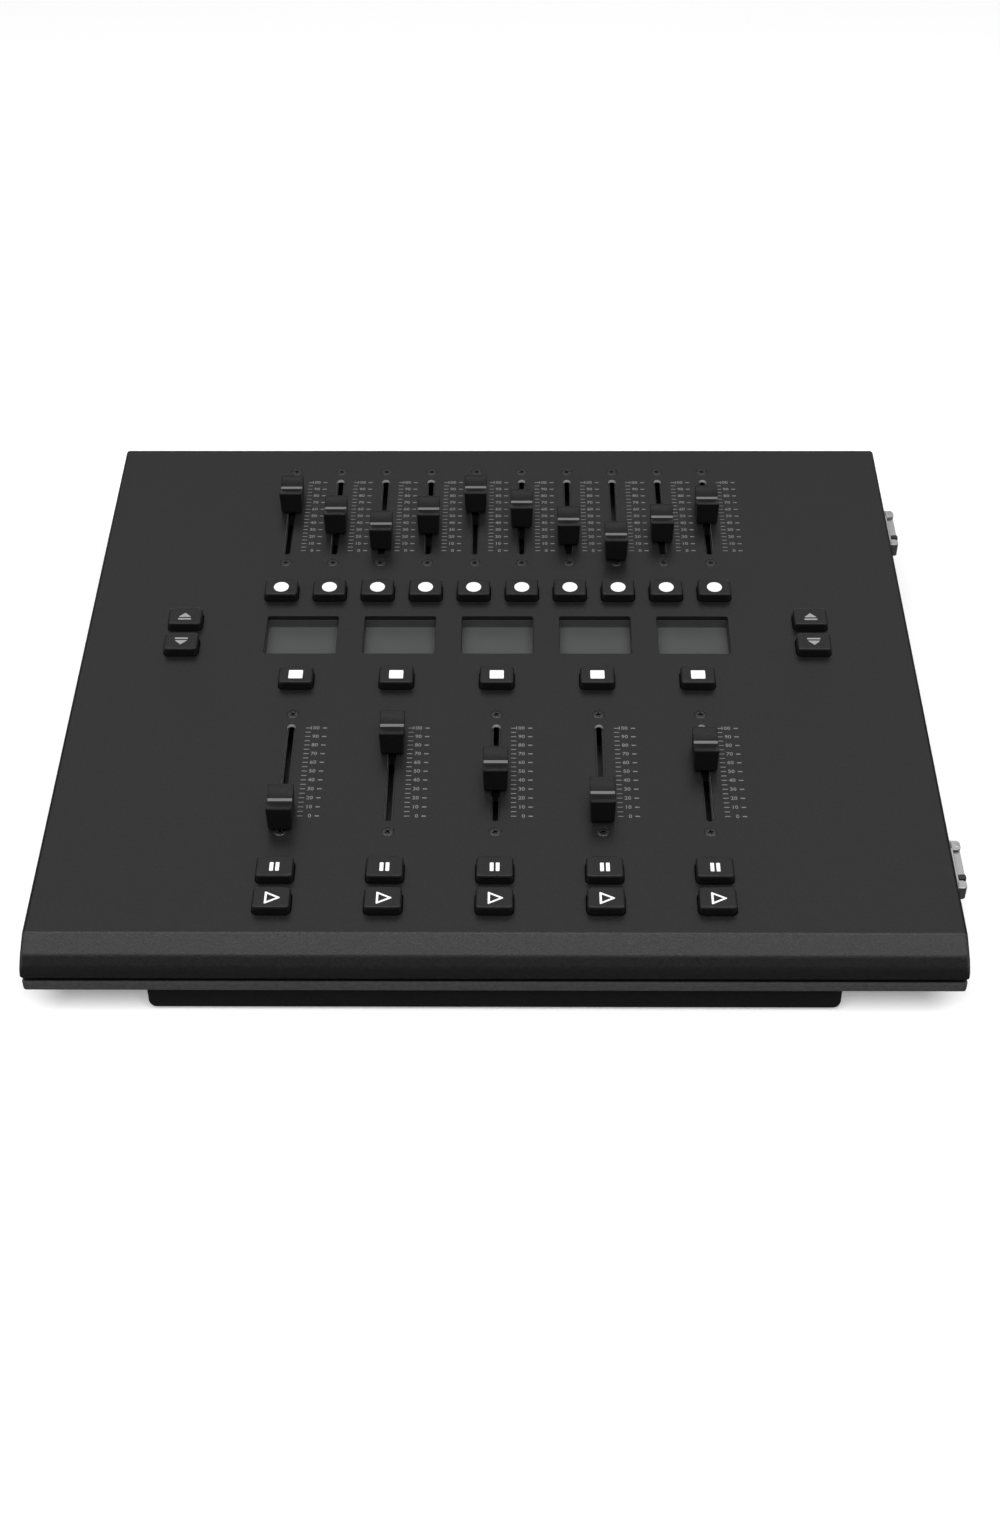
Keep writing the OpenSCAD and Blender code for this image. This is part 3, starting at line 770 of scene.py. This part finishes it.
def make_keys():
    kept = {}
    for node, (x, v) in KEYS.items():
        kind = node.split("_key_")[0]
        at = on_panel(x, v)
        print_of = PAGE_PRINT if kind.startswith("page") else LEGEND
        cap = repeated(kept, "cap", node + "_cap", key_mesh, KEY, at)
        legend = repeated(kept, kind, node + "_legend", lambda: legend_mesh(kind), print_of, at,
                          weighted=False)
        ride(cap, node, "key_plastic", node)
        ride(legend, node, "legend_white")


# ---------------------------------------------------------------- fasteners


def screw_mesh():
    """Countersunk head with a cross recess, and its shank, its flat top at height 0."""
    head_r, shank_r, head_h, length = 2.75, 1.24, 1.5, 6.0
    recess_r, recess_w, recess_deep, floor_share = 1.45, 0.42, 0.9, 0.55
    crown_r, tip = head_r - 0.15, 0.4
    steps = 36
    bm = bmesh.new()
    cross = []
    arm = recess_w / recess_r * 50                       # half an arm's width at its end, degrees
    for k in range(4):
        for r, turn in ((recess_w * 1.4142, -45), (recess_r, -arm), (recess_r, arm)):
            a = math.radians(90 * k + turn)
            cross.append((r * math.cos(a), r * math.sin(a)))
    fill(bm, circle(crown_r, steps), [cross], 0)
    floor = ring(bm, [(x * floor_share, y * floor_share) for x, y in cross], -recess_deep)
    skin(bm, ring(bm, cross, 0), floor)
    bm.faces.new(floor)
    lathe(bm, [(crown_r, 0), (head_r, -0.12), (head_r, -0.3), (shank_r, -head_h),
               (shank_r, -length + tip), (shank_r - tip, -length)], steps, close=(False, True))
    return bm


def join_copies(name, bm, places, material, slot, *replaced):
    """One object made of copies of a small mesh at several places."""
    source = bpy.data.meshes.new(name + "_one")
    bmesh.ops.remove_doubles(bm, verts=bm.verts, dist=1e-7)
    bm.to_mesh(source)
    bm.free()
    whole = bmesh.new()
    for at in places:
        first = len(whole.verts)
        whole.from_mesh(source)
        whole.verts.ensure_lookup_table()
        bmesh.ops.transform(whole, matrix=at, verts=whole.verts[first:])
    obj = make_object(name, whole, material)
    bpy.data.meshes.remove(source)
    return ride(obj, "case", slot, *replaced)


def make_screws():
    """The faders' screws, each turned its own way, with their heads just under the panel."""
    turn, sunk = 0.7, 0.05
    places = []
    for i, (x, v) in enumerate(MIDDLES.values()):
        for side in (-1, 1):
            places.append(on_panel(x, v + side * SCREW_SPAN / 2, -sunk)
                          @ Matrix.Rotation(turn * (2 * i + side), 4, "Z"))
    join_copies("panel_screw_heads", screw_mesh(), places, SCREW, "black_screw", "panel_screws")


# ---------------------------------------------------------------- displays


def make_displays():
    """Each display: a bezel round its opening, its glass deep inside, and a clear window."""
    wall, glass_n, glass_t, bezel_low = 2.0, -7.5, 2.0, -10.0
    window_top, window_low = -SHEET - 0.02, -SHEET - WINDOW_T
    bezel_top = window_low - 0.05
    outer_w, outer_d = VIEW_W + 2 * wall, VIEW_D + 2 * wall
    mouth_w, mouth_d = VIEW_W - 0.1, VIEW_D - 0.1
    outer, mouth = rounded(outer_w, outer_d, 1.2, 4), rounded(mouth_w, mouth_d, 0.8, 4)
    section = ((outer, bezel_low), (outer, bezel_top), (mouth, bezel_top), (mouth, bezel_low))
    for i, x in enumerate(DISPLAY_X, 1):
        at = on_panel(x, DISPLAY_V)
        bm = bmesh.new()
        rings = [ring(bm, points, n) for points, n in section]
        loft(bm, [*rings, rings[0]], close=(False, False))
        bezel = make_object(f"display_bezel_{i}", bm, BEZEL, at)
        bm = bmesh.new()
        block(bm, mouth_w, mouth_d, glass_n - glass_t, glass_n, 0.7, 0.15)
        glass = make_object(f"display_glass_{i}", bm, DISPLAY, at)
        bm = bmesh.new()
        block(bm, outer_w, outer_d, window_low, window_top, 1.2, 0.1)
        window = make_object(f"display_window_{i}", bm, WINDOW, at)
        ride(bezel, "case", "display_glass")
        ride(glass, "case", "display_glass")
        ride(window, "case", "clear_window")
        if i == 1:
            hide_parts("display_modules")
            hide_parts("display_windows")


# ---------------------------------------------------------------- scales

DIGIT_H = 2.3
ROW_STEP = TRAVEL / 10


def number_mesh(text):
    """The outline of a short number as a thin solid, right-aligned at x = 0, middle at y = 0."""
    curve = bpy.data.curves.new("number_" + text, "FONT")
    curve.body = text
    curve.align_x, curve.align_y = "RIGHT", "CENTER"
    curve.size = DIGIT_H * 1.4 * MM
    curve.resolution_u = 2
    curve.extrude = 0.01 * MM
    curve.offset = 0.05 * MM
    obj = bpy.data.objects.new("number", curve)
    bpy.context.scene.collection.objects.link(obj)
    bpy.context.view_layer.update()
    mesh = bpy.data.meshes.new_from_object(obj.evaluated_get(bpy.context.evaluated_depsgraph_get()))
    bpy.data.objects.remove(obj)
    return mesh


def make_scales():
    """Printed scale to the right of each fader: numbers from 100 down to 0, with ticks."""
    number_x, tick_x, fine_x = 13.9, 16.5, 8.5
    tick = (2.2, 0.7)
    fine = (2.6, 0.5)
    print_n = 0.02
    numbers = [number_mesh(str(10 * k)) for k in range(11)]
    bm = bmesh.new()

    def stamp(mesh, x, v):
        first = len(bm.verts)
        bm.from_mesh(mesh)
        bm.verts.ensure_lookup_table()
        bmesh.ops.transform(bm, matrix=Matrix.Translation((x * MM, v * MM, print_n * MM)),
                            verts=bm.verts[first:])

    def dash(x, v, size):
        points = moved(rounded(*size, min(size) * 0.3, 2), x, v)
        loft(bm, [ring(bm, points, print_n - 0.01), ring(bm, points, print_n + 0.01)])

    for x, v in MIDDLES.values():
        for k in range(11):
            row = v + (k - 5) * ROW_STEP
            stamp(numbers[k], x + number_x, row)
            dash(x + tick_x, row, tick)
            dash(x + fine_x, row, fine)
            if k < 10:
                dash(x + fine_x, row + ROW_STEP / 2, fine)
    obj = make_object("fader_scales", bm, PRINT, PANEL, weighted=False)
    ride(obj, "case", "scale_ink")


# ---------------------------------------------------------------- side latches


def make_latches():
    """Two hinged latches: wall plate with lugs, pin and keeper, and a lever whose grip is dark
    steel, a painted shade.
    """
    length, out, top, height = 30.0, 5.0, -2.8, 7.6      # along the wall, off it, its top, its depth
    plate_t, keeper_l, keeper_out = 1.2, 5.0, out - 0.5
    lug_h, lug_l, lug_r = 1.2, 6.0, 1.9
    pin, pin_v = out - lug_r, length - lug_l / 2
    reach, tail = pin_v - keeper_l - 1.0, 1.5            # lever in front of its pin, and behind it
    arm_w, arm_low, arm_high = 3.2, -height + lug_h + 0.2, -lug_h - 0.2
    grip_w, grip_l, grip_more = 3.4, 3.0, lug_h - 0.1
    arm_l = reach + tail - grip_l
    half = PANEL_W / 2
    for side in ("front", "rear"):
        node = side + "_latch_lever"
        hinge = PANEL.inverted() @ Vector(JOINTS[side + "_latch_hinge"]["pos_m"])
        at = on_panel(half, hinge.y / MM - pin_v, top)
        bm = bmesh.new()
        block(bm, plate_t, length, -height, 0, 0.3, 0.2, (plate_t / 2, length / 2))
        block(bm, keeper_out, keeper_l, -height, 0, 1.6, 0.4, (keeper_out / 2, keeper_l / 2))
        for low in (-height, -lug_h):
            block(bm, out, lug_l, low, low + lug_h, lug_r, 0.25, (out / 2, pin_v))
        for low, high in ((-height + 0.05, -height + 0.3), (-0.2, 0.12)):    # the pin's two ends
            lathe(bm, [(0.001, low), (1.0, low), (1.25, low + 0.08), (1.25, high - 0.1),
                       (0.9, high), (0.001, high)], 24, (pin, pin_v))
        bracket = make_object(side + "_latch_bracket", bm, LATCH, at)
        ride(bracket, "case", "latch_metal")
        if side == "front":
            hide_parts("latch_brackets")
        at = on_panel(half + pin, hinge.y / MM, top)
        bm = bmesh.new()
        block(bm, arm_w, arm_l, arm_low, arm_high, 1.4, 0.35, (0, tail - arm_l / 2))
        arm = make_object(node + "_arm", bm, LATCH, at)
        # The grip's dark steel is painted shade, for the shadow under the lever's curled end.
        bm = bmesh.new()
        block(bm, grip_w, grip_l, arm_low - grip_more, arm_high + grip_more, 0.8, 0.3,
              (0.15, -reach + grip_l / 2))
        grip = make_object(node + "_grip", bm, STEEL, at)
        ride(arm, node, "latch_metal", node)
        ride(grip, node, "connector_insert")


# ---------------------------------------------------------------- CAD nodes that stay


def dress(node, material):
    """Gives a CAD node its material and finely bevelled edges."""
    obj = frame["nodes"][node]
    obj.data.materials.clear()
    obj.data.materials.append(material)
    bevel = obj.modifiers.new("edge", "BEVEL")
    bevel.width = 0.15 * MM
    bevel.segments = 2
    bevel.limit_method = "ANGLE"
    bevel.angle_limit = math.radians(50)
    bevel.harden_normals = True


def make_feet():
    """Four turned rubber feet with a rolled lower edge."""
    low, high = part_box("rubber_feet")
    radius, height = 8.6, 3.0
    xs = (low.x / MM + radius, high.x / MM - radius)
    ys = (low.y / MM + radius, high.y / MM - radius)
    bm = bmesh.new()
    lathe(bm, [(0, 0.35), (4.5, 0.3), (5.2, 0), (7.2, 0), (8.0, 0.25), (8.45, 0.9), (radius, 1.5),
               (radius, height), (0, height)], 56)
    places = [Matrix.Translation((x * MM, y * MM, 0)) for x in xs for y in ys]
    join_copies("rubber_foot_set", bm, places, RUBBER, "foot_rubber", "rubber_feet")


def make_scene_parts():
    make_cover()
    make_tray()
    make_faders()
    make_keys()
    make_screws()
    make_displays()
    make_scales()
    make_latches()
    make_feet()
    dress("base_housing", BASE)
    dress("connector_panel", PLATE)
    dress("rear_connectors", SHELL)
    dress("fader_frames", STEEL)
    dress("circuit_boards", BOARD)
    dress("key_switches", SWITCH)
    dress("case_screws", SCREW)


make_scene_parts()

# ---------------------------------------------------------------- floor and light


def make_floor():
    """A white floor that the desk's gloss doesn't mirror."""
    half_side = 6
    bm = bmesh.new()
    bmesh.ops.create_grid(bm, x_segments=1, y_segments=1, size=half_side)
    mesh = bpy.data.meshes.new("floor")
    bm.to_mesh(mesh)
    bm.free()
    floor = bpy.data.objects.new("floor", mesh)
    bpy.context.scene.collection.objects.link(floor)
    s = Shader("floor_white", (0.9, 0.9, 0.9), 0.9, Emission_Color=(1, 1, 1, 1),
               Emission_Strength=0.3)
    s.bsdf.inputs["Specular IOR Level"].default_value = 0.0
    mesh.materials.append(s.material)
    floor.visible_glossy = False


def softbox(name, place, aim, size, radiance, lights=True, mirrored=True):
    """A rectangular light of even radiance, that may light matt surfaces, be mirrored, or both."""
    data = bpy.data.lights.new(name, "AREA")
    data.shape = "RECTANGLE"
    data.size, data.size_y = size
    data.energy = radiance * math.pi * size[0] * size[1]
    light = bpy.data.objects.new(name, data)
    bpy.context.scene.collection.objects.link(light)
    light.visible_diffuse, light.visible_glossy = lights, mirrored
    light.location = place
    light.rotation_euler = (Vector(aim) - Vector(place)).to_track_quat("-Z", "Y").to_euler()


def make_light():
    """One soft key light for matt surfaces, and panels of even light that only gloss shows."""
    scene = bpy.context.scene
    world = bpy.data.worlds.new("studio")
    world.use_nodes = True
    world.node_tree.nodes["Background"].inputs["Color"].default_value = (1, 1, 1, 1)
    world.node_tree.nodes["Background"].inputs["Strength"].default_value = 0.06
    scene.world = world
    scene.view_settings.view_transform = "Standard"
    softbox("key", (0, -2.0, 3.6), (0, 0.3, 0), (5.0, 2.4), 6.6, mirrored=False)
    softbox("overhead", (0, -0.12, 1.7), (0, -0.12, 0), (3.4, 0.7), 2.86, lights=False)
    softbox("rear", (0, 1.5, 1.9), (0, 0, 0), (3.4, 1.4), 0.66, lights=False)
    for name, side in (("left", -1), ("right", 1)):
        softbox(name, (side * 2.6, -0.3, 1.0), (0, 0, 0), (2.6, 1.5), 1.1, lights=False)
    softbox("back", (0, 3.2, 0.5), (0, 0.1, 0.05), (4.0, 0.7), 1.5, lights=False)


make_floor()
make_light()
